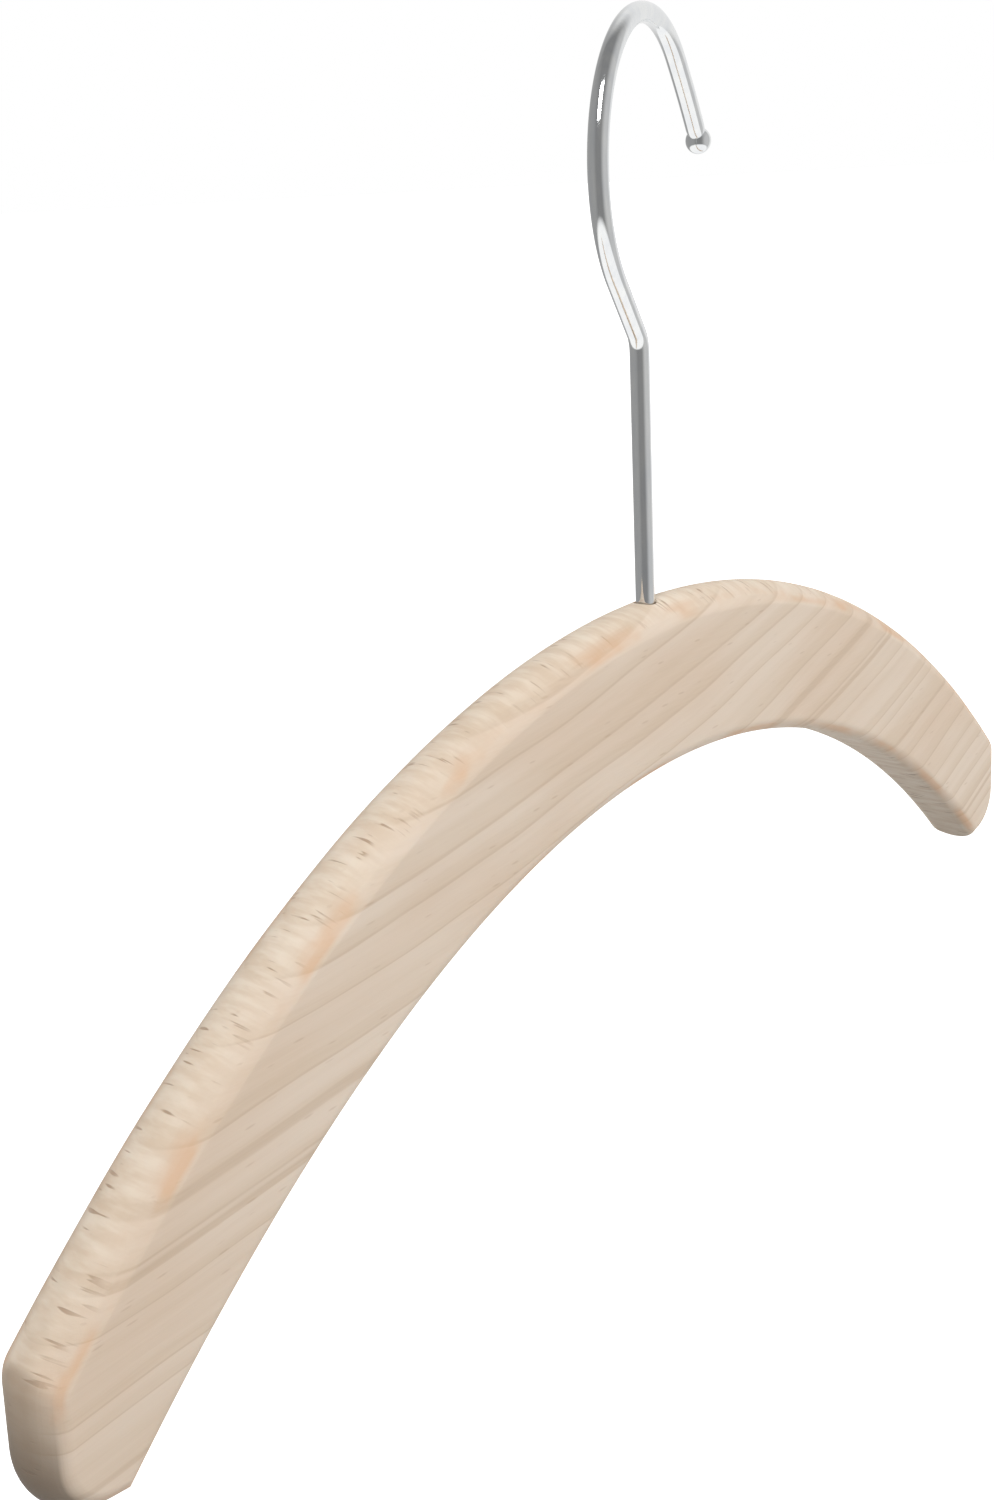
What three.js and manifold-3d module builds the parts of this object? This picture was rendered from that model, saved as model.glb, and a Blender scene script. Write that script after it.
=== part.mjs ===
// Clothes hanger: one arched beech board on a chromed wire hook that swivels in it.
//
// Millimetres, +Z up. +X runs along the board, -Y is the front face. The origin is the seat
// of the rail: the inner face of the hook's loop, straight above the stem, so that the
// swivel axis is the Z axis. The hook, with the washer riveted to it, stays on the rail and
// the board turns below it.

import * as THREE from 'three';
import { mergeVertices } from 'three/addons/utils/BufferGeometryUtils.js';
import Module from 'manifold-3d';

// ---- Board ---------------------------------------------------------------------------

const boardThickness = 14.1;
const boardHeightAtMiddle = 33.4;
const crownRadius = 187;            // of the upper edge at the middle
const crownFlattening = 826;        // length over which the upper edge leaves a parabola
const archRadius = 176;             // of the lower edge at the middle
const archFlattening = 745;
const shoulderHalfSpan = 166;       // stem axis out to where the crown meets the end face
const endFaceHeight = 24.9;         // shoulder down to the outer corner of the foot
const endSplay = 0.06;              // how far the end face leans outwards, per mm of drop
const shoulderCornerRadius = 7.5;
const footSlope = 0.19;             // how far the foot drops towards the arch, per mm
const footCornerRadius = 12.5;
const outerEdgeRounding = 6.2;      // of the crown, ends and feet, across the thickness
const outerEdgeInset = 4.8;         // how far that rounding draws in the flat faces
const innerEdgeRounding = 3.1;      // of the arch
const smallestFlat = 1;             // of the face that a rounding leaves on each half thickness

// ---- Hook ----------------------------------------------------------------------------

const wireDiameter = 3.8;
const hookTurn = 15;                // degrees that the hook is turned from the board's plane
const crownToBend = 50.6;           // straight stem above the board
const stemBendRadius = 5.7;
const loopInnerRadius = 24.9;
const loopOffset = 6.9;             // loop centre from the stem's axis, towards the tip
const loopCentreHeight = 81.4;      // above the board's crown
const loopTurnPastTop = 43;         // degrees that the round of the loop goes on past its top
const tipStretchRadius = 180;       // the open end straightens out to this radius
const tipStretchLength = 19.6;
const tipBallDiameter = 5.2;
const tipBallOverlap = 1.2;         // how far the wire runs into the formed ball

// ---- Swivel inside the board ------------------------------------------------------------

const boreClearance = 0.35;         // wire to bore, on the radius
const recessDepth = 9;              // up from the arch, at the middle of the board
const washerDiameter = 10;
const washerThickness = 1;
const washerSideClearance = 0.5;    // washer to recess wall, on the radius
const seatClearance = 0.3;          // washer to its two neighbours, along the axis
const washerBoreClearance = 0.3;    // washer to wire, on the radius
const rivetHeadDiameter = 7;
const rivetHeadHeight = 2.2;

// ---- How finely the curves are divided ----------------------------------------------------

const crownSteps = 36;
const archSteps = 84;
const cornerSteps = 9;
const outerRoundingSteps = 6;
const innerRoundingSteps = 4;
const roundSteps = 40;
const bendSteps = 6;
const loopSteps = 44;
const tipSteps = 10;
const wireSteps = 150;
const wireRoundSteps = 10;
const ballSteps = 24;
const weldDistance = 1e-4;

// ---- Worked out from the values above ---------------------------------------------------

const wireRadius = wireDiameter / 2;
const loopRadius = loopInnerRadius + wireRadius;
const halfThickness = boardThickness / 2;

// Height of the loop's inner face above the board's crown, on the stem's axis.
const seatHeight = loopCentreHeight + Math.sqrt(loopInnerRadius ** 2 - loopOffset ** 2);
const crownZ = -seatHeight;
const archZ = crownZ - boardHeightAtMiddle;
const outerRounding = Math.min(outerEdgeRounding, halfThickness - smallestFlat / 2);
const innerRounding = Math.min(innerEdgeRounding, halfThickness - smallestFlat / 2);
const recessRadius = washerDiameter / 2 + washerSideClearance;
const recessTopZ = archZ + recessDepth;
const washerTopZ = recessTopZ - seatClearance;
const rivetTopZ = washerTopZ - washerThickness - seatClearance;

// ---- Finishes --------------------------------------------------------------------------

const beech = new THREE.MeshStandardMaterial({ color: 0xd3bfa9, roughness: 0.62, metalness: 0 });
const chrome = new THREE.MeshStandardMaterial({ color: 0xd9dbde, roughness: 0.08, metalness: 1 });
const zinc = new THREE.MeshStandardMaterial({ color: 0xa9acb0, roughness: 0.35, metalness: 1 });

// ---- Booleans --------------------------------------------------------------------------

const wasm = await Module();
wasm.setup();

function toSolid(geometry) {
  const bare = geometry.index ? geometry.toNonIndexed() : geometry.clone();
  bare.deleteAttribute('normal');
  bare.deleteAttribute('uv');
  const merged = mergeVertices(bare, weldDistance);
  const vertProperties = new Float32Array(merged.attributes.position.array);
  const triVerts = new Uint32Array(merged.index.array);
  return new wasm.Manifold(new wasm.Mesh({ numProp: 3, vertProperties, triVerts }));
}

function toGeometry(solid) {
  const { vertProperties, triVerts } = solid.getMesh();
  const geometry = new THREE.BufferGeometry();
  geometry.setAttribute('position', new THREE.BufferAttribute(new Float32Array(vertProperties), 3));
  geometry.setIndex(new THREE.BufferAttribute(new Uint32Array(triVerts), 1));
  return geometry;
}

// ---- Board -------------------------------------------------------------------------------

// Both long edges are parabolas that flatten a little towards the ends.
function crownHeightAt(x) {
  return crownZ - (x * x / (2 * crownRadius)) * (1 + (x / crownFlattening) ** 2);
}

function archHeightAt(x) {
  return archZ - (x * x / (2 * archRadius)) * (1 + (x / archFlattening) ** 2);
}

function curvePoints(heightAt, fromX, toX, steps) {
  const points = [];
  for (let step = 0; step <= steps; step += 1) {
    const x = fromX + (toX - fromX) * step / steps;
    points.push(new THREE.Vector2(x, heightAt(x)));
  }
  return points;
}

// Rounds the corner between two straight lines, as points on an arc.
function cornerArc(before, corner, after, radius, steps) {
  const back = before.clone().sub(corner).normalize();
  const forward = after.clone().sub(corner).normalize();
  const halfAngle = Math.acos(THREE.MathUtils.clamp(back.dot(forward), -1, 1)) / 2;
  const reach = radius / Math.tan(halfAngle);
  const bisector = back.clone().add(forward).normalize();
  const centre = corner.clone().addScaledVector(bisector, radius / Math.sin(halfAngle));
  const start = corner.clone().addScaledVector(back, reach).sub(centre);
  const end = corner.clone().addScaledVector(forward, reach).sub(centre);
  let sweep = end.angle() - start.angle();
  if (sweep > Math.PI) {
    sweep -= 2 * Math.PI;
  }
  if (sweep < -Math.PI) {
    sweep += 2 * Math.PI;
  }
  const points = [];
  for (let step = 0; step <= steps; step += 1) {
    const angle = start.angle() + sweep * step / steps;
    points.push(new THREE.Vector2(Math.cos(angle), Math.sin(angle)).multiplyScalar(radius).add(centre));
  }
  return points;
}

// The board without its arch: crown, rounded shoulders, end faces and rounded feet. The foot
// lines of both ends run on until they meet below the middle.
function blankOutline() {
  const shoulder = new THREE.Vector2(shoulderHalfSpan, crownHeightAt(shoulderHalfSpan));
  const foot = new THREE.Vector2(shoulder.x + endSplay * endFaceHeight, shoulder.y - endFaceHeight);
  const beforeX = shoulder.x - shoulderCornerRadius / 2;
  const beforeShoulder = new THREE.Vector2(beforeX, crownHeightAt(beforeX));
  const footLinesMeet = new THREE.Vector2(0, foot.y - footSlope * foot.x);
  const shoulderArc = cornerArc(beforeShoulder, shoulder, foot, shoulderCornerRadius, cornerSteps);
  const footArc = cornerArc(shoulder, foot, footLinesMeet, footCornerRadius, cornerSteps);
  const crown = curvePoints(crownHeightAt, 0, shoulderArc[0].x, crownSteps);
  crown.pop();
  const rightHalf = [...crown, ...shoulderArc, ...footArc];
  const leftHalf = rightHalf.slice(1).reverse().map((point) => new THREE.Vector2(-point.x, point.y));
  return [...rightHalf, footLinesMeet, ...leftHalf];
}

// Everything above the arch. Only its lower edge shapes the board.
function aboveArchOutline() {
  const reach = shoulderHalfSpan + endFaceHeight;
  const lowerEdge = curvePoints(archHeightAt, -reach, reach, archSteps);
  const roof = crownZ + endFaceHeight;
  return [...lowerEdge, new THREE.Vector2(reach, roof), new THREE.Vector2(-reach, roof)];
}

// A slab of the board's thickness with all its edges rounded, standing in the XZ plane. The
// rounding is measured across the thickness and the inset along the faces.
function roundedSlab(outline, rounding, inset, segments) {
  const geometry = new THREE.ExtrudeGeometry(new THREE.Shape(outline), {
    depth: boardThickness - 2 * rounding,
    bevelEnabled: true,
    bevelThickness: rounding,
    bevelSize: inset,
    bevelOffset: -inset,
    bevelSegments: segments,
    steps: 1,
  });
  geometry.translate(0, 0, rounding - halfThickness);
  geometry.rotateX(Math.PI / 2);
  return toSolid(geometry);
}

function verticalCylinder(radius, bottomZ, topZ, segments) {
  const geometry = new THREE.CylinderGeometry(radius, radius, topZ - bottomZ, segments);
  geometry.rotateX(Math.PI / 2);
  geometry.translate(0, 0, (bottomZ + topZ) / 2);
  return geometry;
}

function makeBoard() {
  const blank = roundedSlab(blankOutline(), outerRounding, outerEdgeInset, outerRoundingSteps);
  const aboveArch = roundedSlab(aboveArchOutline(), innerRounding, innerRounding, innerRoundingSteps);
  const boreBottomZ = archZ - wireRadius;
  const boreTopZ = crownZ + wireRadius;
  const bore = toSolid(verticalCylinder(wireRadius + boreClearance, boreBottomZ, boreTopZ, roundSteps));
  const recess = toSolid(verticalCylinder(recessRadius, archZ - recessDepth, recessTopZ, roundSteps));
  const board = blank.intersect(aboveArch).subtract(bore).subtract(recess);
  return new THREE.Mesh(toGeometry(board), beech);
}

// ---- Hook --------------------------------------------------------------------------------

// The straight from the stem's bend runs up to the loop as a tangent. Its lean from the
// vertical follows from where the bend and the loop are.
function tangentLean() {
  const rise = loopCentreHeight - crownToBend;
  const distance = Math.hypot(loopOffset, rise);
  return Math.asin(loopRadius / distance) - Math.atan2(loopOffset, rise);
}

// The wire's centre line in the hook's own plane, from the rivet head up to the ball.
function hookCentreLine(bottomZ) {
  const lean = tangentLean();
  const bendReach = stemBendRadius * Math.tan(lean / 2);
  const bendStartZ = crownZ + crownToBend - bendReach;
  const loopCentre = new THREE.Vector2(loopOffset, crownZ + loopCentreHeight);
  const roundEnd = Math.PI / 2 + THREE.MathUtils.degToRad(loopTurnPastTop);
  const points = [];
  const add = (x, z) => points.push(new THREE.Vector3(x, 0, z));

  add(0, bottomZ);
  add(0, (bottomZ + bendStartZ) / 2);
  for (let step = 0; step <= bendSteps; step += 1) {
    const angle = lean * step / bendSteps;
    add(-stemBendRadius * (1 - Math.cos(angle)), bendStartZ + stemBendRadius * Math.sin(angle));
  }
  for (let step = 0; step <= loopSteps; step += 1) {
    const angle = -lean + (roundEnd + lean) * step / loopSteps;
    add(loopCentre.x - loopRadius * Math.cos(angle), loopCentre.y + loopRadius * Math.sin(angle));
  }
  const tipCentre = loopCentre.clone().add(new THREE.Vector2(-Math.cos(roundEnd), Math.sin(roundEnd))
    .multiplyScalar(loopRadius - tipStretchRadius));
  for (let step = 1; step <= tipSteps; step += 1) {
    const angle = roundEnd + (tipStretchLength / tipStretchRadius) * step / tipSteps;
    add(tipCentre.x - tipStretchRadius * Math.cos(angle), tipCentre.y + tipStretchRadius * Math.sin(angle));
  }
  return points;
}

function makeHook() {
  const centreLine = hookCentreLine(rivetTopZ - rivetHeadHeight / 2);
  const section = new THREE.Shape().absarc(0, 0, wireRadius, 0, 2 * Math.PI);
  const wire = toSolid(new THREE.ExtrudeGeometry(section, {
    extrudePath: new THREE.CatmullRomCurve3(centreLine, false, 'centripetal'),
    steps: wireSteps,
    curveSegments: wireRoundSteps,
    bevelEnabled: false,
  }));

  const tip = centreLine[centreLine.length - 1];
  const along = tip.clone().sub(centreLine[centreLine.length - 2]).normalize();
  const ballCentre = tip.clone().addScaledVector(along, tipBallDiameter / 2 - tipBallOverlap);
  const ball = new THREE.SphereGeometry(tipBallDiameter / 2, ballSteps, ballSteps / 2);
  ball.translate(ballCentre.x, ballCentre.y, ballCentre.z);

  const head = verticalCylinder(rivetHeadDiameter / 2, rivetTopZ - rivetHeadHeight, rivetTopZ, roundSteps);
  const hook = wire.add(toSolid(ball)).add(toSolid(head));
  return new THREE.Mesh(toGeometry(hook), chrome);
}

// ---- Washer --------------------------------------------------------------------------------

function makeWasher() {
  const outer = washerDiameter / 2;
  const inner = wireRadius + washerBoreClearance;
  const profile = [
    new THREE.Vector2(inner, 0),
    new THREE.Vector2(outer, 0),
    new THREE.Vector2(outer, washerThickness),
    new THREE.Vector2(inner, washerThickness),
    new THREE.Vector2(inner, 0),
  ];
  const geometry = new THREE.LatheGeometry(profile, roundSteps);
  geometry.rotateX(Math.PI / 2);
  return new THREE.Mesh(geometry, zinc);
}

// ---- Assembly --------------------------------------------------------------------------------

const hanger = new THREE.Group();

const board = makeBoard();
board.name = 'wooden_board';
hanger.add(board);

const turned = new THREE.Group();
turned.rotation.z = THREE.MathUtils.degToRad(hookTurn);
hanger.add(turned);

const hook = makeHook();
hook.name = 'swivel_hook';
turned.add(hook);

const washer = makeWasher();
washer.name = 'hook_washer';
washer.position.z = washerTopZ - washerThickness;
turned.add(washer);

export default hanger;
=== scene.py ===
"""Looks of the clothes hanger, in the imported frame: beech board, chromed hook, zinc washer."""

import math

import bmesh
import bpy
from mathutils import Matrix, Vector, noise


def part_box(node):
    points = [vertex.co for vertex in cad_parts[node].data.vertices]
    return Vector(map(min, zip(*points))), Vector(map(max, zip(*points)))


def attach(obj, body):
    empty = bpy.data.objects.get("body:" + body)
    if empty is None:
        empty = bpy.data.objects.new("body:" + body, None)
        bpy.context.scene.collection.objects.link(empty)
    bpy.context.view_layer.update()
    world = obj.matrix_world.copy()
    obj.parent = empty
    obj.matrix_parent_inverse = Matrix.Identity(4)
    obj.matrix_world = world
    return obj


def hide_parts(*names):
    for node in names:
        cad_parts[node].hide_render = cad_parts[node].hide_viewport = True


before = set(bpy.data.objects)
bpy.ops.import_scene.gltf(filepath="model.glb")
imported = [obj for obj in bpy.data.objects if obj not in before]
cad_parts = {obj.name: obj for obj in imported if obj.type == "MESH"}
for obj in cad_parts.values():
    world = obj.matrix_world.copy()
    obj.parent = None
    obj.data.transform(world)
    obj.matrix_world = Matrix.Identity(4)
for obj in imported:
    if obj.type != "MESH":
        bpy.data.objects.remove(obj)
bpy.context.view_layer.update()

MM = 0.001

# ---- Sizes of the board, repeated from the CAD model -------------------------

CROWN_RADIUS = 187 * MM
CROWN_FLATTENING = 826 * MM
ARCH_RADIUS = 176 * MM
ARCH_FLATTENING = 745 * MM
HEIGHT_AT_MIDDLE = 33.4 * MM
SHOULDER_HALF_SPAN = 166 * MM
END_FACE_HEIGHT = 24.9 * MM
END_SPLAY = 0.06
SHOULDER_CORNER_RADIUS = 7.5 * MM
FOOT_SLOPE = 0.19
FOOT_CORNER_RADIUS = 12.5 * MM
CROWN_DOME = 3.7 * MM     # how far the outer edge falls from mid-thickness to the arris
ARRIS_RADIUS = 1.2 * MM
INNER_ROUNDING = 3.1 * MM
SETBACK = 0.03 * MM       # keeps the fine surface inside the faceted CAD box
FACE_BORDER = 0.4 * MM    # a narrow flat band round each face, so that its edge shades cleanly

# ---- Sizes of the hook and washer --------------------------------------------

WIRE_RADIUS = 1.9 * MM
HOOK_TURN = math.radians(15)
CROWN_TO_BEND = 50.6 * MM
STEM_BEND_RADIUS = 5.7 * MM
LOOP_RADIUS = 26.8 * MM
LOOP_OFFSET = 6.9 * MM
LOOP_CENTRE_HEIGHT = 81.4 * MM
LOOP_TURN_PAST_TOP = math.radians(43)
TIP_STRETCH_RADIUS = 180 * MM
TIP_STRETCH_LENGTH = 19.6 * MM
TIP_BALL_RADIUS = 2.6 * MM
TIP_BALL_OVERLAP = 1.2 * MM
TIP_NECK_RADIUS = 1.72 * MM
RIVET_RADIUS = 3.5 * MM
RIVET_HEIGHT = 2.2 * MM
BORE_CLEARANCE = 0.35 * MM
WASHER_BORE_CLEARANCE = 0.3 * MM
RECESS_RADIUS = 5.5 * MM
RECESS_DEPTH = 9 * MM

# ---- Places, from the frame --------------------------------------------------

board_low, board_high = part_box("wooden_board")
hook_low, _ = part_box("swivel_hook")
washer_low, washer_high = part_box("hook_washer")
CROWN_Z = board_high.z
ARCH_Z = CROWN_Z - HEIGHT_AT_MIDDLE
HALF_THICKNESS = (board_high.y - board_low.y) / 2


# ---- Small helpers -----------------------------------------------------------

def mesh_object(name, verts, faces):
    mesh = bpy.data.meshes.new(name)
    mesh.from_pydata(verts, [], faces)
    mesh.validate()
    obj = bpy.data.objects.new(name, mesh)
    bpy.context.scene.collection.objects.link(obj)
    return obj


def shade_smooth(obj, sharp_degrees):
    for polygon in obj.data.polygons:
        polygon.use_smooth = True
    obj.data.set_sharp_from_angle(angle=math.radians(sharp_degrees))


def face_outwards(obj):
    work = bmesh.new()
    work.from_mesh(obj.data)
    bmesh.ops.recalc_face_normals(work, faces=work.faces)
    work.to_mesh(obj.data)
    work.free()


def lathe(name, profile, steps):
    """A ring: the closed (radius, z) profile turned about Z."""
    verts = []
    for step in range(steps):
        angle = 2 * math.pi * step / steps
        verts += [(r * math.cos(angle), r * math.sin(angle), z) for r, z in profile]
    count = len(profile)
    faces = []
    for step in range(steps):
        here, there = step * count, ((step + 1) % steps) * count
        for index in range(count):
            after = (index + 1) % count
            faces.append((here + index, there + index, there + after, here + after))
    obj = mesh_object(name, verts, faces)
    face_outwards(obj)
    return obj


# ---- Board -------------------------------------------------------------------

def crown_height(x):
    return CROWN_Z - x * x / (2 * CROWN_RADIUS) * (1 + (x / CROWN_FLATTENING) ** 2)


def arch_height(x):
    return ARCH_Z - x * x / (2 * ARCH_RADIUS) * (1 + (x / ARCH_FLATTENING) ** 2)


def corner_arc(before, corner, after, radius, steps):
    """Points of the arc that rounds the corner between two straight lines."""
    back = (before - corner).normalized()
    forward = (after - corner).normalized()
    half = back.angle(forward) / 2
    centre = corner + (back + forward).normalized() * (radius / math.sin(half))
    start = corner + back * (radius / math.tan(half)) - centre
    end = corner + forward * (radius / math.tan(half)) - centre
    sweep = start.angle_signed(end)
    turns = [-sweep * step / steps for step in range(steps + 1)]
    return [centre + Matrix.Rotation(turn, 2) @ start for turn in turns]


def end_arcs():
    """Shoulder and foot arcs of the right end, in the XZ plane."""
    shoulder_steps, foot_steps = 18, 26
    shoulder = Vector((SHOULDER_HALF_SPAN, crown_height(SHOULDER_HALF_SPAN)))
    foot = shoulder + Vector((END_SPLAY, -1)) * END_FACE_HEIGHT
    before_x = shoulder.x - SHOULDER_CORNER_RADIUS / 2
    before = Vector((before_x, crown_height(before_x)))
    shoulder_arc = corner_arc(before, shoulder, foot, SHOULDER_CORNER_RADIUS, shoulder_steps)
    feet_meet = Vector((0, foot.y - FOOT_SLOPE * foot.x))
    foot_arc = corner_arc(shoulder, foot, feet_meet, FOOT_CORNER_RADIUS, foot_steps)
    return shoulder_arc, foot_arc


def outer_points():
    """Right half of the outline that the outer rounding follows, from the crown to the foot."""
    shoulder_arc, foot_arc = end_arcs()
    crown_steps = 230
    points = []
    for step in range(crown_steps):
        x = shoulder_arc[0].x * step / crown_steps
        points.append(Vector((x, crown_height(x))))
    points += shoulder_arc
    end_steps = 10
    for step in range(1, end_steps):
        points.append(shoulder_arc[-1].lerp(foot_arc[0], step / end_steps))
    return points + foot_arc


def outward_normals(points, first, last):
    """Normals along an open line of points whose end normals are known."""
    normals = [first]
    for before, after in zip(points, points[2:]):
        along = after - before
        normals.append(Vector((-along.y, along.x)).normalized())
    return normals + [last]


def hand_sanded(point):
    """The share of its full dome that the outer edge has here, as sanding leaves it."""
    patch_size = 22 * MM
    noise_slice = 0.3 * MM
    spread, middle = 0.05, 0.5
    place = Vector((point.x, noise_slice, point.y)) / patch_size
    return 1 - spread * (noise.noise(place) + middle)


def arch_point(x, inset):
    """A point of the arch at x, moved into the wood by the inset."""
    slope = x / ARCH_RADIUS * (1 + 2 * (x / ARCH_FLATTENING) ** 2)
    return Vector((x, arch_height(x))) + Vector((slope, 1)).normalized() * inset


def rounding_inset(rounding, depth):
    """How far a rounded edge has drawn in at a depth below the flat face."""
    if depth >= rounding:
        return 0
    return rounding - math.sqrt(rounding ** 2 - (rounding - depth) ** 2)


def crown_inset(point, depth):
    """How far the outer edge has drawn in at a depth: an unevenly sanded dome, and an arris."""
    dome = CROWN_DOME * (1 - depth / HALF_THICKNESS) ** 2
    return hand_sanded(point) * dome + rounding_inset(ARRIS_RADIUS, depth)


def half_ring(points, normals, depth, margin):
    """Right half of the board's outline at one depth below its flat face."""
    ring = []
    for point, normal in zip(points, normals):
        inset = crown_inset(point, depth) + margin
        ring.append(point - normal * inset)
    foot_end = ring[-1]
    inset = rounding_inset(INNER_ROUNDING, depth) + margin

    # Halve the span again and again, down to the place where the arch meets the foot line.
    low, high = 0.0, SHOULDER_HALF_SPAN
    halvings = 40
    for _ in range(halvings):
        middle = (low + high) / 2
        place = arch_point(middle, inset)
        if place.y > foot_end.y - FOOT_SLOPE * (foot_end.x - place.x):
            low = middle
        else:
            high = middle

    foot_steps = 6
    corner = arch_point(low, inset)
    for step in range(1, foot_steps):
        ring.append(foot_end.lerp(corner, step / foot_steps))
    arch_steps = 220
    for step in range(arch_steps + 1):
        ring.append(arch_point(low * (1 - step / arch_steps), inset))
    return ring


def make_blank():
    """The board without its bore and recess."""
    points = outer_points()
    normals = outward_normals(points, Vector((0, 1)), Vector((FOOT_SLOPE, -1)).normalized())
    quarter_steps = 10
    dome_reach = HALF_THICKNESS - 1 * MM
    depth_digits = 7          # depths that agree to a tenth of a micrometre are one depth
    depths = [HALF_THICKNESS]
    for rounding in (ARRIS_RADIUS, INNER_ROUNDING, dome_reach):
        for step in range(quarter_steps + 1):
            turn = math.pi / 2 * step / quarter_steps
            depths.append(round(rounding * (1 - math.cos(turn)), depth_digits))
    depths = sorted(set(depths))
    rings = [(-1, 0, FACE_BORDER)] + [(-1, depth, SETBACK) for depth in depths]
    rings += [(1, depth, SETBACK) for depth in reversed(depths[:-1])] + [(1, 0, FACE_BORDER)]

    verts = []
    for side, depth, margin in rings:
        right = half_ring(points, normals, depth, margin)
        whole = right + [Vector((-point.x, point.y)) for point in reversed(right[1:-1])]
        verts += [(point.x, side * (HALF_THICKNESS - depth), point.y) for point in whole]
    count = len(verts) // len(rings)
    faces = []
    for ring in range(len(rings) - 1):
        for index in range(count):
            after = (index + 1) % count
            here, there = ring * count, (ring + 1) * count
            faces.append((here + index, here + after, there + after, there + index))
    faces.append(tuple(range(count)))
    faces.append(tuple(reversed(range(len(verts) - count, len(verts)))))
    blank = mesh_object("beech_board", verts, faces)
    face_outwards(blank)
    return blank


def bore_cutter():
    """Bore with a broken mouth in the crown, and the recess for washer and rivet head."""
    bore = WIRE_RADIUS + BORE_CLEARANCE
    mouth = 0.5 * MM
    mouth_top = CROWN_Z + 0.1 * MM
    above = CROWN_Z + 2 * MM
    recess_top = ARCH_Z + RECESS_DEPTH
    profile = [
        (0, above),
        (bore + mouth, above),
        (bore + mouth, mouth_top),
        (bore, CROWN_Z - mouth),
        (bore, recess_top),
        (RECESS_RADIUS, recess_top),
        (RECESS_RADIUS, ARCH_Z - RECESS_DEPTH),
        (0, ARCH_Z - RECESS_DEPTH),
    ]
    steps = 48
    verts = [(0, 0, profile[0][1]), (0, 0, profile[-1][1])]
    for step in range(steps):
        angle = 2 * math.pi * step / steps
        verts += [(r * math.cos(angle), r * math.sin(angle), z) for r, z in profile[1:-1]]
    count = len(profile) - 2
    faces = []
    for step in range(steps):
        here, there = 2 + step * count, 2 + ((step + 1) % steps) * count
        faces.append((0, here, there))
        faces.append((1, there + count - 1, here + count - 1))
        for index in range(count - 1):
            faces.append((here + index, here + index + 1, there + index + 1, there + index))
    cutter = mesh_object("bore_cutter", verts, faces)
    face_outwards(cutter)
    return cutter


def cut_away(obj, cutter):
    """Cut another solid out of obj, and remove that solid."""
    cut = obj.modifiers.new("cut", "BOOLEAN")
    cut.operation = "DIFFERENCE"
    cut.solver = "EXACT"
    cut.object = cutter
    graph = bpy.context.evaluated_depsgraph_get()
    baked = bpy.data.meshes.new_from_object(obj.evaluated_get(graph))
    obj.modifiers.clear()
    obj.data = baked
    bpy.data.objects.remove(cutter)


def make_board():
    board = make_blank()
    cut_away(board, bore_cutter())
    return board


# ---- Hook --------------------------------------------------------------------

def hook_path():
    """The wire's centre line in the hook's own plane, as (x, z), from rivet head to ball."""
    rise = LOOP_CENTRE_HEIGHT - CROWN_TO_BEND
    to_tangent = math.asin(LOOP_RADIUS / math.hypot(LOOP_OFFSET, rise))
    lean = to_tangent - math.atan2(LOOP_OFFSET, rise)
    bend_start = CROWN_Z + CROWN_TO_BEND - STEM_BEND_RADIUS * math.tan(lean / 2)
    centre = Vector((LOOP_OFFSET, CROWN_Z + LOOP_CENTRE_HEIGHT))
    step_length = 0.5 * MM
    bend_steps = 10

    path = []

    def arc(middle, radius, start, end):
        steps = max(2, round(radius * abs(end - start) / step_length))
        for step in range(1, steps + 1):
            angle = start + (end - start) * step / steps
            path.append(middle + radius * Vector((-math.cos(angle), math.sin(angle))))

    stem_steps = round((bend_start - hook_low.z) / step_length)
    for step in range(stem_steps + 1):
        path.append(Vector((0, hook_low.z + (bend_start - hook_low.z) * step / stem_steps)))
    for step in range(1, bend_steps + 1):
        angle = lean * step / bend_steps
        place = Vector((math.cos(angle) - 1, math.sin(angle))) * STEM_BEND_RADIUS
        path.append(Vector((0, bend_start)) + place)
    bend_end = path[-1].copy()
    tangent = centre + LOOP_RADIUS * Vector((-math.cos(lean), -math.sin(lean)))
    straight_steps = max(2, round((tangent - bend_end).length / step_length))
    for step in range(1, straight_steps + 1):
        path.append(bend_end.lerp(tangent, step / straight_steps))
    round_end = math.pi / 2 + LOOP_TURN_PAST_TOP
    arc(centre, LOOP_RADIUS, -lean, round_end)
    away = Vector((-math.cos(round_end), math.sin(round_end)))
    stretch_centre = centre + away * (LOOP_RADIUS - TIP_STRETCH_RADIUS)
    stretch_end = round_end + TIP_STRETCH_LENGTH / TIP_STRETCH_RADIUS
    arc(stretch_centre, TIP_STRETCH_RADIUS, round_end, stretch_end)
    return path


def ball_stations(path):
    """(place, radius) pairs that carry the wire on through its neck and round its ball."""
    along = (path[-1] - path[-2]).normalized()
    centre = path[-1] + along * (TIP_BALL_RADIUS - TIP_BALL_OVERLAP)
    neck_turn = math.asin(TIP_NECK_RADIUS / TIP_BALL_RADIUS)
    stations = []
    steps = 20
    for step in range(steps + 1):
        turn = neck_turn + (math.pi - neck_turn) * step / steps
        place = centre - along * (TIP_BALL_RADIUS * math.cos(turn))
        stations.append((place, TIP_BALL_RADIUS * math.sin(turn)))
    return stations


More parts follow.
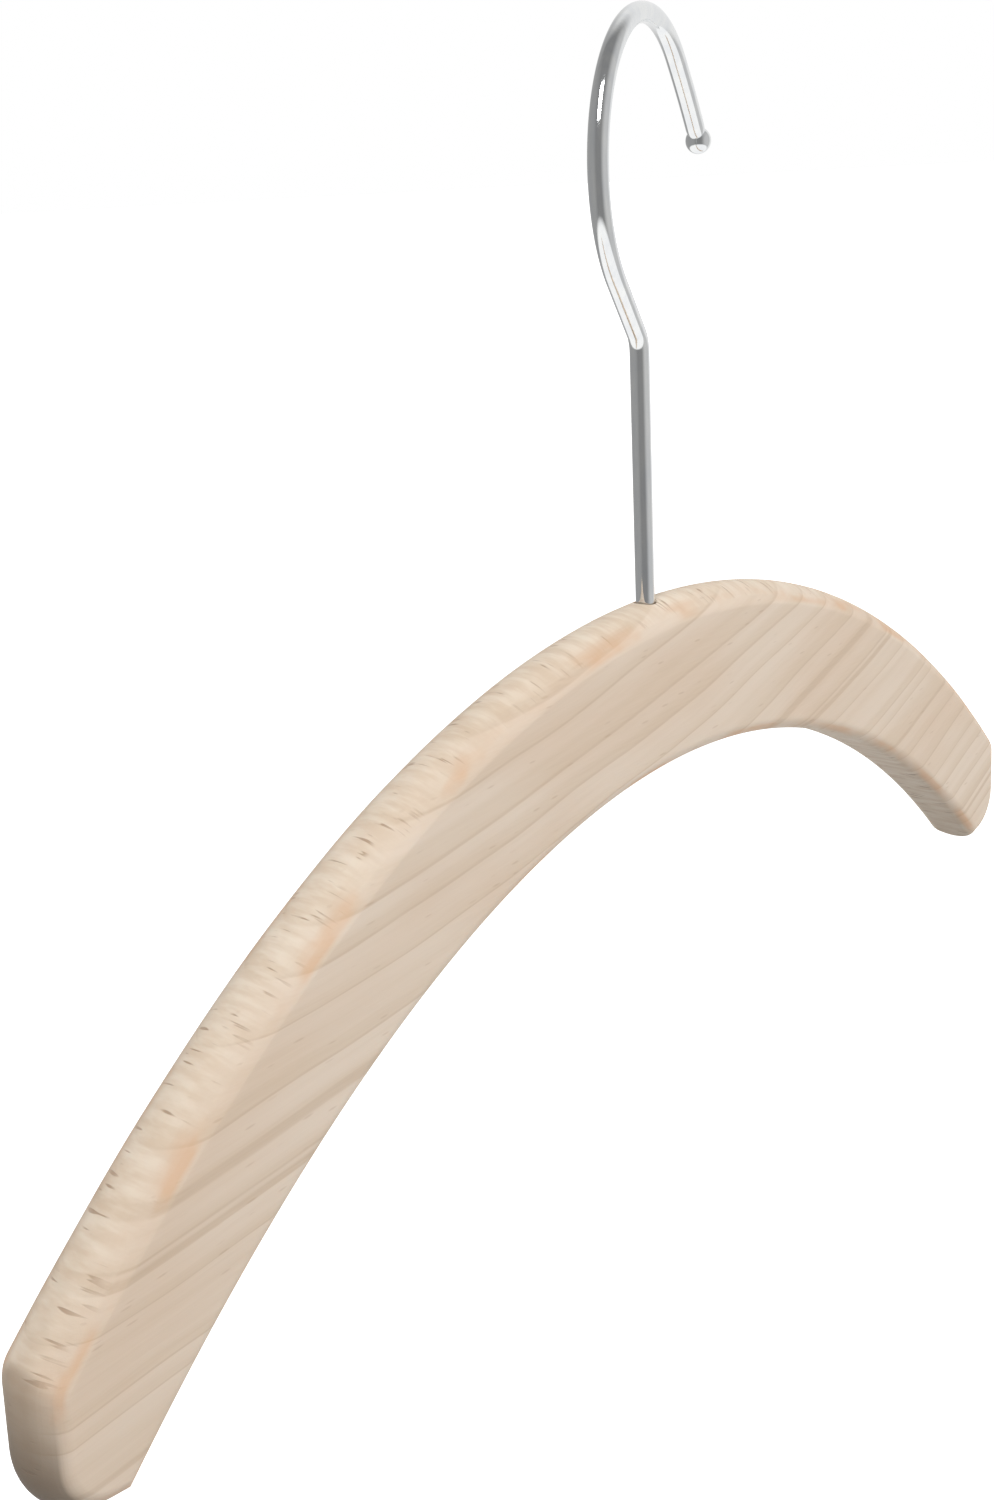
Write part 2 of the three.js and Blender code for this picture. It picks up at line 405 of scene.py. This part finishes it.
def rivet_stations():
    """(place, radius) pairs of the domed head, from its lowest point up to the wire."""
    dome_share = 0.6
    dome = RIVET_HEIGHT * dome_share
    stations = []
    steps = 10
    for step in range(steps + 1):
        turn = math.pi / 2 * step / steps
        height = dome * (1 - math.cos(turn))
        stations.append((Vector((0, hook_low.z + height)), RIVET_RADIUS * math.sin(turn)))
    chamfer = 0.2 * MM
    slope_under_wire = 0.01 * MM
    top = hook_low.z + RIVET_HEIGHT
    stations.append((Vector((0, top - chamfer)), RIVET_RADIUS))
    stations.append((Vector((0, top)), RIVET_RADIUS - chamfer))
    stations.append((Vector((0, top + slope_under_wire)), WIRE_RADIUS))
    return stations


def make_hook():
    path = hook_path()
    ball = ball_stations(path)
    neck_start = ball[0][0]
    clear_of_head = 0.3 * MM
    neck_length = 1.1 * MM
    neck_shares = (0.4, 0.7, 0.9)
    wire = [place for place in path if place.y > hook_low.z + RIVET_HEIGHT + clear_of_head]
    while (wire[-1] - neck_start).length < neck_length:
        wire.pop()
    stations = rivet_stations() + [(place, WIRE_RADIUS) for place in wire]
    for share in neck_shares:
        radius = WIRE_RADIUS + (TIP_NECK_RADIUS - WIRE_RADIUS) * share * share
        stations.append((wire[-1].lerp(neck_start, share), radius))
    stations += ball

    around = 36
    verts = []
    for index, (place, radius) in enumerate(stations):
        before = stations[max(index - 1, 0)][0]
        after = stations[min(index + 1, len(stations) - 1)][0]
        along = (after - before).normalized()
        across = Vector((along.y, -along.x))
        for step in range(around):
            turn = 2 * math.pi * step / around
            side = across * (radius * math.cos(turn))
            verts.append((place.x + side.x, radius * math.sin(turn), place.y + side.y))
    faces = []
    for index in range(len(stations) - 1):
        for step in range(around):
            after = (step + 1) % around
            here, there = index * around, (index + 1) * around
            faces.append((here + step, here + after, there + after, there + step))
    hook = mesh_object("chromed_hook", verts, faces)
    same_place = 0.002 * MM   # the rings at the rivet's and the ball's end shrink to points
    work = bmesh.new()
    work.from_mesh(hook.data)
    bmesh.ops.remove_doubles(work, verts=work.verts, dist=same_place)
    bmesh.ops.recalc_face_normals(work, faces=work.faces)
    bmesh.ops.rotate(work, verts=work.verts, matrix=Matrix.Rotation(HOOK_TURN, 3, "Z"))
    work.to_mesh(hook.data)
    work.free()
    return hook


# ---- Washer ------------------------------------------------------------------

def make_washer():
    outer = (washer_high.x - washer_low.x) / 2
    inner = WIRE_RADIUS + WASHER_BORE_CLEARANCE
    chamfer = 0.15 * MM
    steps = 64
    low, high = washer_low.z, washer_high.z
    profile = [
        (inner, low + chamfer),
        (inner + chamfer, low),
        (outer - chamfer, low),
        (outer, low + chamfer),
        (outer, high - chamfer),
        (outer - chamfer, high),
        (inner + chamfer, high),
        (inner, high - chamfer),
    ]
    return lathe("zinc_washer", profile, steps)


# ---- Materials ---------------------------------------------------------------

def new_material(name):
    material = bpy.data.materials.new(name)
    material.use_nodes = True
    tree = material.node_tree
    return material, tree, tree.nodes["Principled BSDF"]


class Nodes:
    """Short calls for the node kinds that the materials use."""

    def __init__(self, tree):
        self.tree = tree

    def make(self, kind, **settings):
        node = self.tree.nodes.new(kind)
        for key, value in settings.items():
            setattr(node, key, value)
        return node

    def link(self, source, target):
        if isinstance(source, (int, float, tuple)):
            target.default_value = source
        else:
            self.tree.links.new(source, target)

    def math(self, operation, first, second=0.0):
        node = self.make("ShaderNodeMath", operation=operation)
        for socket, value in zip(node.inputs, (first, second)):
            self.link(value, socket)
        return node.outputs[0]

    def scaled(self, vector, scale):
        node = self.make("ShaderNodeVectorMath", operation="MULTIPLY")
        self.link(vector, node.inputs[0])
        node.inputs[1].default_value = scale
        return node.outputs[0]

    def noise(self, vector, scale, detail=2.0, roughness=0.5):
        node = self.make("ShaderNodeTexNoise")
        self.link(vector, node.inputs["Vector"])
        node.inputs["Scale"].default_value = scale
        node.inputs["Detail"].default_value = detail
        node.inputs["Roughness"].default_value = roughness
        return node.outputs["Fac"]

    def ramp(self, value, low, high, to_low=0.0, to_high=1.0):
        """A soft step: to_low where the value is at low, to_high where it is at high."""
        node = self.make("ShaderNodeMapRange", interpolation_type="SMOOTHSTEP")
        self.link(value, node.inputs["Value"])
        for name, number in zip(("From Min", "From Max", "To Min", "To Max"),
                                (low, high, to_low, to_high)):
            node.inputs[name].default_value = number
        return node.outputs["Result"]

    def mix(self, factor, first, second):
        """A colour: the first where the factor is 0, the second where it is 1."""
        node = self.make("ShaderNodeMix", data_type="RGBA")
        self.link(factor, node.inputs["Factor"])
        self.link(first, node.inputs["A"])
        self.link(second, node.inputs["B"])
        return node.outputs["Result"]

    def bump(self, height, strength, distance):
        node = self.make("ShaderNodeBump")
        node.inputs["Strength"].default_value = strength
        node.inputs["Distance"].default_value = distance
        self.link(height, node.inputs["Height"])
        return node.outputs["Normal"]


TO_MILLIMETRES = (1000, 1000, 1000)


def srgb(red, green, blue):
    """A colour given in screen values of 0 to 255, as linear light with alpha."""
    def linear(value):
        value /= 255
        return value / 12.92 if value <= 0.04045 else ((value + 0.055) / 1.055) ** 2.4
    return (linear(red), linear(green), linear(blue), 1.0)


def beech_material():
    """Raw beech. All its patterns are laid out in millimetres in the frame."""
    face_tan, face_pale = srgb(213, 193, 173), srgb(218, 202, 185)
    late_wood, ring_line = srgb(196, 174, 148), srgb(171, 144, 118)
    streak_tan, fibre_pale = srgb(190, 166, 139), srgb(226, 211, 194)
    fleck_brown, cut_brown = srgb(158, 124, 94), srgb(150, 116, 88)
    crown_tan, crown_cream = srgb(221, 200, 176), srgb(238, 224, 205)
    burnt_orange = srgb(209, 164, 124)
    # The second grey darkens the ends towards the foot: partly the end grain's own tone, partly
    # painted shade.
    end_grey, foot_grain_and_shade_grey = srgb(164, 144, 124), srgb(126, 111, 96)
    pith_x, pith_z = -144, 647
    ring_width, ring_unevenness = 7.4, 3.2
    crown_centre_z, crown_radius = -292.0, 190.0

    material, tree, shader = new_material("raw_beech")
    n = Nodes(tree)
    coordinates = n.make("ShaderNodeTexCoord")
    place = n.scaled(coordinates.outputs["Object"], TO_MILLIMETRES)

    # The growth layers wander a little, as in a tree that never grew quite round.
    wander = n.make("ShaderNodeTexNoise")
    n.link(n.scaled(place, (0.012, 0.02, 0.03)), wander.inputs["Vector"])
    wander.inputs["Scale"].default_value = 1.0
    wander.inputs["Detail"].default_value = 2.0
    shift = n.make("ShaderNodeVectorMath", operation="MULTIPLY_ADD")
    n.link(wander.outputs["Color"], shift.inputs[0])
    shift.inputs[1].default_value = (8, 0, 5)
    n.link(place, shift.inputs[2])
    wood = shift.outputs[0]

    # Distance from the pith, which lies far above the left arm and runs along Y.
    flat = n.make("ShaderNodeVectorMath", operation="MULTIPLY_ADD")
    n.link(wood, flat.inputs[0])
    flat.inputs[1].default_value = (1, 0.05, 1)
    flat.inputs[2].default_value = (-pith_x, 0, -pith_z)
    length = n.make("ShaderNodeVectorMath", operation="LENGTH")
    n.link(flat.outputs[0], length.inputs[0])
    distance = length.outputs["Value"]

    along_distance = n.make("ShaderNodeCombineXYZ")
    n.link(n.math("MULTIPLY", distance, 0.11), along_distance.inputs["X"])
    uneven = n.noise(along_distance.outputs[0], 1.0, detail=2.0, roughness=0.6)
    even_rings = n.math("DIVIDE", distance, ring_width)
    rings = n.math("ADD", even_rings, n.math("MULTIPLY", uneven, ring_unevenness))
    phase = n.math("FRACT", rings)
    late = n.math("MULTIPLY", n.ramp(phase, 0.2, 0.9), n.ramp(phase, 0.92, 1.0, 1.0, 0.0))
    line = n.math("MULTIPLY", n.ramp(phase, 0.82, 0.92), n.ramp(phase, 0.94, 1.0, 1.0, 0.0))

    # Layers finer than a ring, which run as faint streaks along the faces.
    separate = n.make("ShaderNodeSeparateXYZ")
    n.link(wood, separate.inputs[0])
    layered = n.make("ShaderNodeCombineXYZ")
    n.link(n.math("MULTIPLY", separate.outputs["X"], 0.02), layered.inputs["X"])
    n.link(n.math("MULTIPLY", separate.outputs["Y"], 0.05), layered.inputs["Y"])
    n.link(n.math("MULTIPLY", distance, 0.6), layered.inputs["Z"])
    streaks = n.noise(layered.outputs[0], 1.0, detail=4.0, roughness=0.65)

    fibres = n.noise(n.scaled(wood, (0.09, 1.6, 2.6)), 1.0, detail=3.0, roughness=0.6)
    blotches = n.noise(n.scaled(place, (0.015, 0.03, 0.04)), 1.0, detail=2.0)

    # Short brown flecks where the rays are cut.
    fleck_cells = n.make("ShaderNodeTexVoronoi", feature="F1")
    n.link(n.scaled(wood, (0.16, 0.5, 0.95)), fleck_cells.inputs["Vector"])
    fleck_cells.inputs["Scale"].default_value = 1.0
    chosen = n.make("ShaderNodeSeparateColor")
    n.link(fleck_cells.outputs["Color"], chosen.inputs[0])
    fleck = n.math(
        "MULTIPLY",
        n.ramp(fleck_cells.outputs["Distance"], 0.10, 0.24, 1.0, 0.0),
        n.ramp(chosen.outputs["Red"], 0.7, 0.85),
    )

    # How far the surface has turned away from the flat faces, from its own normal.
    turned = n.make("ShaderNodeSeparateXYZ")
    n.link(coordinates.outputs["Normal"], turned.inputs[0])
    facing = n.math("ABSOLUTE", turned.outputs["Y"])
    edge = n.ramp(facing, 0.25, 0.85, 1.0, 0.0)
    arris = n.math("MULTIPLY", n.ramp(facing, 0.35, 0.7), n.ramp(facing, 0.86, 0.98, 1.0, 0.0))
    edge_and_arris = n.ramp(facing, 0.55, 0.98, 1.0, 0.0)
    sideways = n.ramp(n.math("ABSOLUTE", turned.outputs["X"]), 0.62, 0.85)
    end = n.math("MULTIPLY", edge, sideways)

    base = n.mix(n.ramp(blotches, 0.35, 0.65), face_tan, face_pale)
    base = n.mix(n.math("MULTIPLY", late, 0.36), base, late_wood)
    base = n.mix(n.math("MULTIPLY", line, 0.24), base, ring_line)
    base = n.mix(n.ramp(streaks, 0.4, 0.72, 0.0, 0.14), base, streak_tan)
    base = n.mix(n.ramp(fibres, 0.3, 0.72, 0.0, 0.14), base, fibre_pale)
    base = n.mix(n.math("MULTIPLY", fleck, 0.22), base, fleck_brown)

    # Where the crown cuts the grain, torn fibres show as short cross lines, with patches of
    # cream between them.
    parts = n.make("ShaderNodeSeparateXYZ")
    n.link(place, parts.inputs[0])
    above_centre = n.math("ADD", parts.outputs["Z"], -crown_centre_z)
    crown_turn = n.math("ARCTAN2", parts.outputs["X"], above_centre)
    along_crown = n.math("MULTIPLY", crown_turn, crown_radius)
    band = n.make("ShaderNodeCombineXYZ")
    n.link(along_crown, band.inputs["X"])
    n.link(parts.outputs["Y"], band.inputs["Y"])
    cream = n.noise(n.scaled(band.outputs[0], (0.4, 0.09, 1)), 1.0, detail=3.0, roughness=0.6)
    tint = n.mix(n.ramp(cream, 0.35, 0.65), crown_tan, crown_cream)
    base = n.mix(n.math("MULTIPLY", edge, 0.65), base, tint)
    cuts = n.noise(n.scaled(band.outputs[0], (1.25, 0.13, 1)), 1.0, detail=1.0)
    cut_rows = n.noise(n.scaled(band.outputs[0], (0.1, 0.16, 1)), 1.0, detail=1.0)
    cut_line = n.math("MULTIPLY", n.ramp(cuts, 0.62, 0.68), n.ramp(cut_rows, 0.42, 0.55))
    cut_line = n.math("MULTIPLY", cut_line, edge)
    base = n.mix(n.math("MULTIPLY", cut_line, 0.62), base, cut_brown)

    # Orange-brown burnish in patches along the arris.
    patches = n.noise(n.scaled(place, (0.05, 0.12, 0.05)), 1.0, detail=3.0)
    burnish = n.math("MULTIPLY", n.math("MULTIPLY", arris, n.ramp(patches, 0.46, 0.62)), 0.5)
    base = n.mix(burnish, base, burnt_orange)

    # End grain is greyer. Low on the ends, towards the foot, it is darkened further: painted
    # shade, on top of the end grain's own darker tone.
    base = n.mix(n.math("MULTIPLY", end, 0.75), base, end_grey)
    # Mask of the painted shade towards the foot, which also carries some of the end grain's own
    # darkness.
    far_out = n.ramp(n.math("ABSOLUTE", parts.outputs["X"]), 155.0, 163.0)
    low_down = n.ramp(parts.outputs["Z"], -184.0, -199.0)
    foot_grain_and_shade = n.math("MULTIPLY", n.math("MULTIPLY", far_out, low_down), edge_and_arris)
    base = n.mix(n.math("MULTIPLY", foot_grain_and_shade, 0.85), base, foot_grain_and_shade_grey)
    n.link(base, shader.inputs["Base Color"])

    rough = n.math("ADD", 0.56, n.math("MULTIPLY", fibres, 0.16))
    n.link(rough, shader.inputs["Roughness"])
    shader.inputs["Specular IOR Level"].default_value = 0.32
    shader.inputs["Subsurface Weight"].default_value = 0.06
    shader.inputs["Subsurface Radius"].default_value = (0.0022, 0.0012, 0.0007)
    shader.inputs["Subsurface Scale"].default_value = 1.0

    pores = n.noise(n.scaled(wood, (0.35, 5.0, 6.5)), 1.0, detail=2.0)
    relief = n.math(
        "ADD",
        n.math("MULTIPLY", fibres, 0.5),
        n.math("SUBTRACT", n.math("MULTIPLY", pores, 0.35), n.math("MULTIPLY", cut_line, 1.2)),
    )
    n.link(n.bump(relief, strength=0.35, distance=0.00012), shader.inputs["Normal"])
    return material


def chrome_material():
    """Polished chrome with a thin uneven haze and faint marks along the drawn wire."""
    chrome_dark, chrome_light = srgb(226, 228, 230), srgb(236, 237, 236)
    material, tree, shader = new_material("polished_chrome")
    n = Nodes(tree)
    coordinates = n.make("ShaderNodeTexCoord")
    place = n.scaled(coordinates.outputs["Object"], TO_MILLIMETRES)
    haze = n.noise(n.scaled(place, (0.5, 0.5, 0.12)), 1.0, detail=4.0, roughness=0.6)
    colour = n.mix(n.ramp(haze, 0.3, 0.7), chrome_dark, chrome_light)
    n.link(colour, shader.inputs["Base Color"])
    shader.inputs["Metallic"].default_value = 1.0
    n.link(n.ramp(haze, 0.3, 0.75, 0.05, 0.12), shader.inputs["Roughness"])
    drawn = n.noise(n.scaled(place, (1.6, 1.6, 0.18)), 1.0, detail=3.0)
    n.link(n.bump(drawn, strength=0.10, distance=0.00005), shader.inputs["Normal"])
    return material


def zinc_material():
    zinc_dark, zinc_light = srgb(160, 163, 168), srgb(190, 192, 194)
    material, tree, shader = new_material("zinc_plate")
    n = Nodes(tree)
    coordinates = n.make("ShaderNodeTexCoord")
    place = n.scaled(coordinates.outputs["Object"], TO_MILLIMETRES)
    spangle = n.noise(place, 1.4, detail=3.0)
    n.link(n.mix(spangle, zinc_dark, zinc_light), shader.inputs["Base Color"])
    shader.inputs["Metallic"].default_value = 1.0
    n.link(n.ramp(spangle, 0.2, 0.8, 0.28, 0.45), shader.inputs["Roughness"])
    return material


# ---- Stage: floor, light and camera ------------------------------------------

def make_floor():
    """A floor far below, white to the camera, that neither lights nor shows in the hanger."""
    reach = 60.0
    drop = 0.6
    z = board_low.z - drop
    grey, pale = (0.90, 0.90, 0.90, 1), (0.93, 0.93, 0.93, 1)
    corners = [(-reach, -reach, z), (reach, -reach, z), (reach, reach, z), (-reach, reach, z)]
    floor = mesh_object("studio_floor", corners, [(0, 1, 2, 3)])
    material, tree, shader = new_material("pale_floor")
    n = Nodes(tree)
    coordinates = n.make("ShaderNodeTexCoord")
    speckle = n.noise(coordinates.outputs["Object"], 3.0, detail=3.0)
    n.link(n.mix(speckle, grey, pale), shader.inputs["Base Color"])
    shader.inputs["Roughness"].default_value = 0.9
    shader.inputs["Emission Color"].default_value = (1, 1, 1, 1)
    shader.inputs["Emission Strength"].default_value = 1.0
    floor.data.materials.append(material)
    floor.visible_diffuse = False
    floor.visible_glossy = False


def aim(obj, place, target):
    obj.location = place
    obj.rotation_mode = "QUATERNION"
    obj.rotation_quaternion = (target - place).to_track_quat("-Z", "Y")


def area_light(name, place, size, power, target, mirrored):
    light = bpy.data.lights.new(name, "AREA")
    light.shape = "SQUARE"
    light.size = size
    light.energy = power
    obj = bpy.data.objects.new(name, light)
    bpy.context.scene.collection.objects.link(obj)
    obj.visible_glossy = mirrored
    aim(obj, Vector(place), target)


def make_world():
    """White to the camera. What lights the hanger is light behind and grey on the viewer's side.

    The chrome mirrors a pale table low down, light walls behind and to the right, and grey
    elsewhere.
    """
    away_from_viewer = (0.775, 0.632, 0.0)
    to_viewers_right = (0.632, -0.775, 0.0)
    world = bpy.data.worlds.new("studio")
    bpy.context.scene.world = world
    world.use_nodes = True
    tree = world.node_tree
    n = Nodes(tree)
    direction = n.make("ShaderNodeTexCoord").outputs["Generated"]
    behind = n.make("ShaderNodeVectorMath", operation="DOT_PRODUCT")
    n.link(direction, behind.inputs[0])
    behind.inputs[1].default_value = away_from_viewer
    parts = n.make("ShaderNodeSeparateXYZ")
    n.link(direction, parts.inputs[0])
    height = parts.outputs["Z"]

    around = n.ramp(behind.outputs["Value"], -0.1, 0.7, 0.20, 0.8)
    falling = n.math("MULTIPLY", around, n.ramp(height, -0.35, 0.05, 1.9, 1.0))

    aside = n.make("ShaderNodeVectorMath", operation="DOT_PRODUCT")
    n.link(direction, aside.inputs[0])
    aside.inputs[1].default_value = to_viewers_right
    sideways = aside.outputs["Value"]
    bright_side = n.ramp(sideways, 0.3, 0.95, 0.26, 0.62)
    bright_back = n.ramp(behind.outputs["Value"], 0.1, 0.6, 0.26, 0.9)
    bright_back = n.math("MULTIPLY", bright_back, n.ramp(sideways, -0.5, 0.2, 0.42, 1.0))
    dark_side = n.ramp(sideways, -0.9, -0.2, 0.36, 0.22)
    mirrored = n.math("MAXIMUM", bright_side, n.math("MAXIMUM", bright_back, dark_side))
    mirrored = n.math("MAXIMUM", mirrored, n.ramp(height, -0.45, -0.62, 0.0, 1.1))

    paths = n.make("ShaderNodeLightPath")
    mix = n.make("ShaderNodeMix", data_type="FLOAT")
    n.link(paths.outputs["Is Glossy Ray"], mix.inputs["Factor"])
    n.link(falling, mix.inputs["A"])
    n.link(mirrored, mix.inputs["B"])
    strength = n.math("MAXIMUM", mix.outputs["Result"], paths.outputs["Is Camera Ray"])
    n.link(strength, tree.nodes["Background"].inputs["Strength"])
    tree.nodes["Background"].inputs["Color"].default_value = (1, 1, 1, 1)


def make_lights():
    below_crown = 0.03
    middle = Vector((0, 0, CROWN_Z - below_crown))
    area_light("key", (-0.78, -0.48, 0.95), size=0.6, power=14.5, target=middle, mirrored=True)
    area_light("fill", (0.62, -1.3, -0.1), size=0.9, power=11.5, target=middle, mirrored=False)


def make_camera():
    """The view from the front left and a little above, close to the left end of the board."""
    azimuth = math.radians(50.8)
    elevation = math.radians(-19.02)
    roll = math.radians(-3.06)
    above_crown = 0.08421
    place = Vector((-0.27572, -0.18486, CROWN_Z + above_crown))
    ahead = Vector((
        math.sin(azimuth) * math.cos(elevation),
        math.cos(azimuth) * math.cos(elevation),
        math.sin(elevation),
    ))
    level = Vector((math.cos(azimuth), -math.sin(azimuth), 0))
    above = level.cross(ahead)
    right = math.cos(roll) * level + math.sin(roll) * above
    up = math.cos(roll) * above - math.sin(roll) * level
    data = bpy.data.cameras.new("photo_camera")
    data.lens = 41.035
    data.sensor_fit = "AUTO"
    data.sensor_width = 36
    data.clip_start = 0.01
    data.clip_end = 50
    camera = bpy.data.objects.new("photo_camera", data)
    bpy.context.scene.collection.objects.link(camera)
    turn = Matrix((right, up, -ahead)).transposed()
    camera.matrix_world = Matrix.Translation(place) @ turn.to_4x4()
    bpy.context.scene.camera = camera


# ---- Assembly ----------------------------------------------------------------

make_camera()
make_world()
make_lights()
make_floor()

board = make_board()
shade_smooth(board, 35)
board.data.materials.clear()
board.data.materials.append(beech_material())
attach(board, "board")
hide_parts("wooden_board")

hook = make_hook()
shade_smooth(hook, 40)
hook.data.materials.append(chrome_material())
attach(hook, "hook")
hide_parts("swivel_hook")

washer = make_washer()
shade_smooth(washer, 30)
washer.data.materials.append(zinc_material())
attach(washer, "hook")
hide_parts("hook_washer")

bpy.context.scene.view_settings.view_transform = "Standard"
